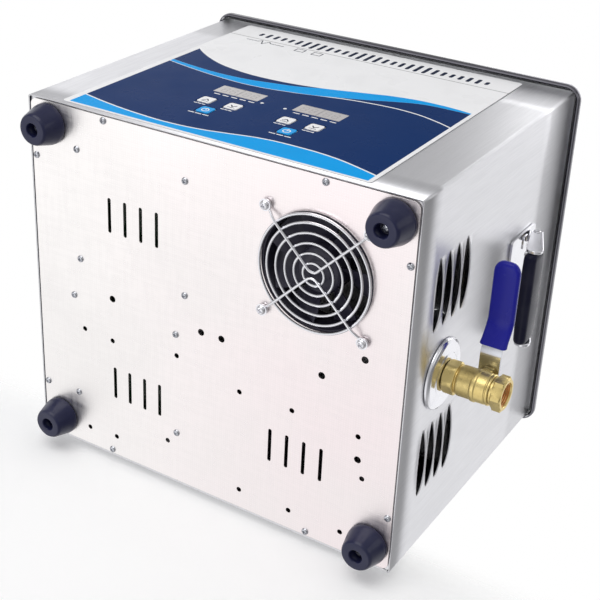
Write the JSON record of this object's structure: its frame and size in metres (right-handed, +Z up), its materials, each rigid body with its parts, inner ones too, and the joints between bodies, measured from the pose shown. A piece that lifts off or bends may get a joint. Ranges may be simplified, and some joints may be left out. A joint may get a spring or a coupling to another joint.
{
  "type": "ultrasonic cleaner",
  "caption": "Bench ultrasonic cleaner: a square steel housing with an open tank, rubber feet, a guarded fan in its underside, a drain ball valve and folding side handles.",
  "frame": {"origin": "centre of the bottom plate's outer face, midway between the four feet, which reach 21 mm below it", "axes": "+X towards the machine's right side, where the drain valve is; -Y towards the control panel; +Z up, out of the tank"},
  "size_m": [0.44, 0.337, 0.309],
  "materials": {
    "housing_steel": "satin, brushed along the height",
    "bottom_steel": "bright, with a fine linen grain",
    "tank_steel": "satin tank with a darker polished rim",
    "transducer_stack": "machined aluminium and ceramic",
    "heater_silicone": "matt silicone",
    "circuit_board": "green board with components",
    "screw_steel": "bright zinc plate",
    "foot_rubber": "satin, nearly black",
    "fan_plastic": "satin black moulded plastic",
    "guard_chrome": "bright wire",
    "escutcheon_chrome": "polished",
    "pipe_steel": "satin",
    "valve_brass": "machined, bright",
    "ball_chrome": "polished",
    "lever_zinc": "bright zinc plate",
    "sleeve_vinyl": "glossy dipped vinyl",
    "handle_chrome": "polished",
    "grip_plastic": "glossy black",
    "panel_film": "printed film: navy and blue waves on white",
    "display_lens": "grey tinted window",
    "blue_key": "printed blue key",
    "white_key": "printed white key",
    "mains_plastic": "satin black"
  },
  "bodies": {
    "machine": {"back_panel": "housing_steel", "bottom_plate": "bottom_steel", "control_board": "circuit_board", "control_overlay": "panel_film", "display_window_left": "display_lens", "display_window_right": "display_lens", "drain_escutcheon": "escutcheon_chrome", "drain_locknut": "valve_brass", "drain_pipe": "pipe_steel", "fan_frame": "fan_plastic", "fan_guard": "guard_chrome", "fan_screw_1": "screw_steel", "fan_screw_2": "screw_steel", "fan_screw_3": "screw_steel", "fan_screw_4": "screw_steel", "foot_front_left": "foot_rubber", "foot_front_right": "foot_rubber", "foot_rear_left": "foot_rubber", "foot_rear_right": "foot_rubber", "foot_screw_front_left": "screw_steel", "foot_screw_front_right": "screw_steel", "foot_screw_rear_left": "screw_steel", "foot_screw_rear_right": "screw_steel", "generator_board_front": "circuit_board", "generator_board_rear": "circuit_board", "handle_left_plate": "handle_chrome", "handle_right_plate": "handle_chrome", "heater_pad_front": "heater_silicone", "heater_pad_rear": "heater_silicone", "housing_wrap": "housing_steel", "packing_nut": "valve_brass", "power_inlet": "mains_plastic", "power_switch_body": "mains_plastic", "tank": "tank_steel", "temperature_sensor": "lever_zinc", "transducer_1": "transducer_stack", "transducer_2": "transducer_stack", "transducer_3": "transducer_stack", "transducer_4": "transducer_stack", "transducer_5": "transducer_stack", "transducer_6": "transducer_stack", "valve_body": "valve_brass", "valve_end": "valve_brass"},
    "valve_handle": {"valve_ball": "ball_chrome", "valve_stem": "lever_zinc", "valve_lever": "lever_zinc", "lever_sleeve": "sleeve_vinyl", "lever_nut": "lever_zinc"},
    "fan_rotor": {"fan_rotor": "fan_plastic"},
    "handle_right": {"handle_right_bail": "handle_chrome", "handle_right_grip": "grip_plastic"},
    "handle_left": {"handle_left_bail": "handle_chrome", "handle_left_grip": "grip_plastic"},
    "power_rocker": {"power_rocker": "mains_plastic"},
    "key_heat_down": {"key_heat_down": "white_key"},
    "key_heat_up": {"key_heat_up": "white_key"},
    "key_heater_start": {"key_heater_start": "blue_key"},
    "key_time_down": {"key_time_down": "white_key"},
    "key_time_up": {"key_time_up": "white_key"},
    "key_timer_start": {"key_timer_start": "blue_key"}
  },
  "joints": [
    {"name": "valve_turn", "type": "hinge", "parent": "machine", "child": "valve_handle", "pos_m": [0.212, 0.005, 0.06], "axis": [0, 0, 1], "range_deg": [0, 90]},
    {"name": "fan_spin", "type": "hinge", "parent": "machine", "child": "fan_rotor", "pos_m": [0.0975, -0.082, 0.014], "axis": [0, 0, 1], "continuous": true},
    {"name": "handle_right_lift", "type": "hinge", "parent": "machine", "child": "handle_right", "pos_m": [0.188, -0.015, 0.215], "axis": [0, -1, 0], "range_deg": [0, 71]},
    {"name": "handle_left_lift", "type": "hinge", "parent": "machine", "child": "handle_left", "pos_m": [-0.188, -0.015, 0.215], "axis": [0, 1, 0], "range_deg": [0, 71]},
    {"name": "power_rocker_tilt", "type": "hinge", "parent": "machine", "child": "power_rocker", "pos_m": [0.066, 0.1605, 0.045], "axis": [1, 0, 0], "range_deg": [0, 18]},
    {"name": "key_heat_down_press", "type": "slide", "parent": "machine", "child": "key_heat_down", "axis": [0, 1, 0], "range_m": [0, 0.0004], "stiffness_N_per_m": 600},
    {"name": "key_heat_up_press", "type": "slide", "parent": "machine", "child": "key_heat_up", "axis": [0, 1, 0], "range_m": [0, 0.0004], "stiffness_N_per_m": 600},
    {"name": "key_heater_start_press", "type": "slide", "parent": "machine", "child": "key_heater_start", "axis": [0, 1, 0], "range_m": [0, 0.0004], "stiffness_N_per_m": 600},
    {"name": "key_time_down_press", "type": "slide", "parent": "machine", "child": "key_time_down", "axis": [0, 1, 0], "range_m": [0, 0.0004], "stiffness_N_per_m": 600},
    {"name": "key_time_up_press", "type": "slide", "parent": "machine", "child": "key_time_up", "axis": [0, 1, 0], "range_m": [0, 0.0004], "stiffness_N_per_m": 600},
    {"name": "key_timer_start_press", "type": "slide", "parent": "machine", "child": "key_timer_start", "axis": [0, 1, 0], "range_m": [0, 0.0004], "stiffness_N_per_m": 600}
  ]
}
